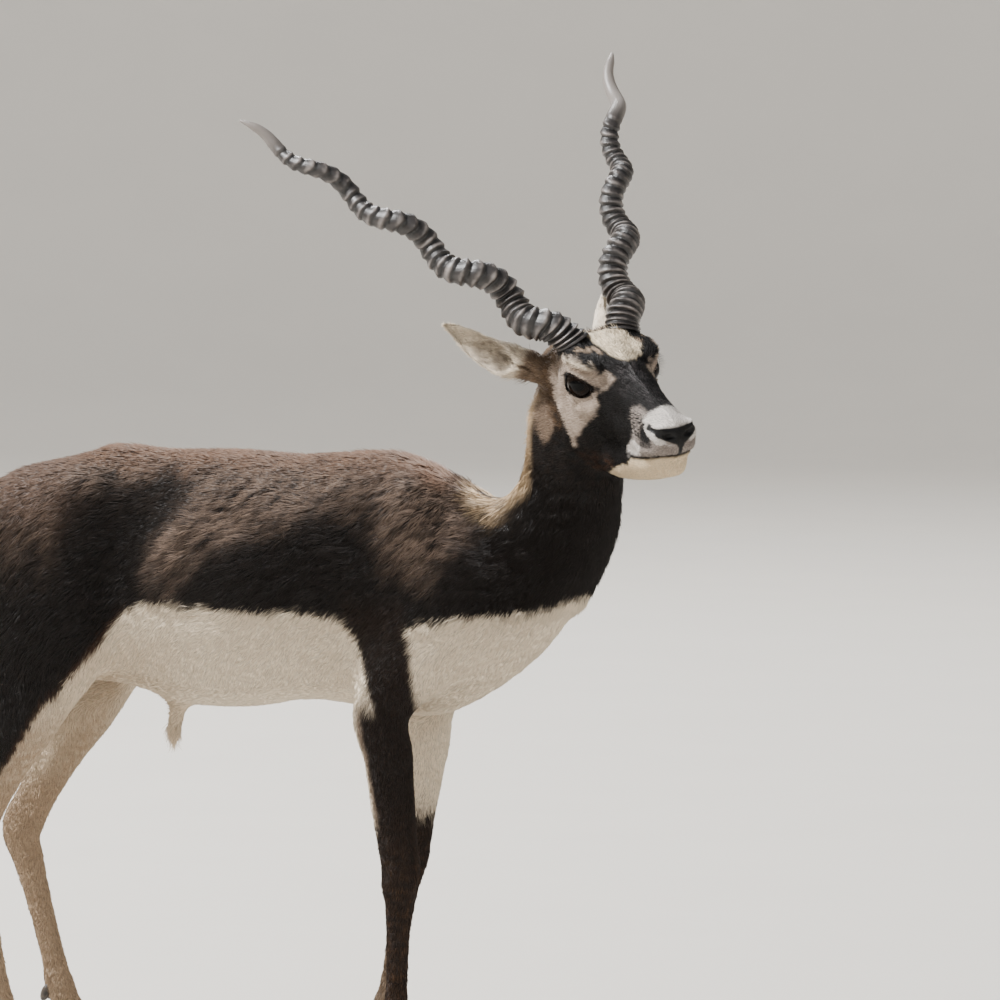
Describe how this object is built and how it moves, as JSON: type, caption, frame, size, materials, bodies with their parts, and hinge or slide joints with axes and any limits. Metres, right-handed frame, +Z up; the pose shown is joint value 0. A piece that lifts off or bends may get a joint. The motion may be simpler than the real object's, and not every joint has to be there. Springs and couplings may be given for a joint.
{
  "type": "blackbuck",
  "caption": "Standing male blackbuck at life size, head turned to its right, with long ringed corkscrew horns, cupped ears, pale eye rings and slender cloven-hoofed legs.",
  "frame": {"origin": "centre of the part's box at floor level, under the standing animal", "axes": "+X the way the body faces, +Y to the animal's left, +Z up"},
  "size_m": [1.0825, 0.4901, 1.2915],
  "materials": {
    "coat_dark": "short dark brown and black hair that lies flat, with white on belly, chest and inner legs",
    "coat_tan": "short tan hair that lies flat",
    "coat_pale": "short cream to white hair",
    "horn": "dry grey-black horn with worn pale rings",
    "hoof": "smooth black horn of the hoof",
    "eye": "wet dark eye"
  },
  "bodies": {
    "root": {"torso": "coat_dark", "neck": "coat_dark", "head": "coat_dark", "foreleg_right": "coat_dark", "foreleg_left": "coat_dark", "hindleg_right": "coat_tan", "hindleg_left": "coat_tan", "tail": "coat_tan", "sheath": "coat_pale", "ear_right": "coat_pale", "ear_left": "coat_pale", "eye_right": "eye", "eye_left": "eye", "horn_right": "horn", "horn_left": "horn", "forehoof_right_outer": "hoof", "forehoof_right_inner": "hoof", "forehoof_left_outer": "hoof", "forehoof_left_inner": "hoof", "hindhoof_right_outer": "hoof", "hindhoof_right_inner": "hoof", "hindhoof_left_outer": "hoof", "hindhoof_left_inner": "hoof"}
  },
  "joints": []
}
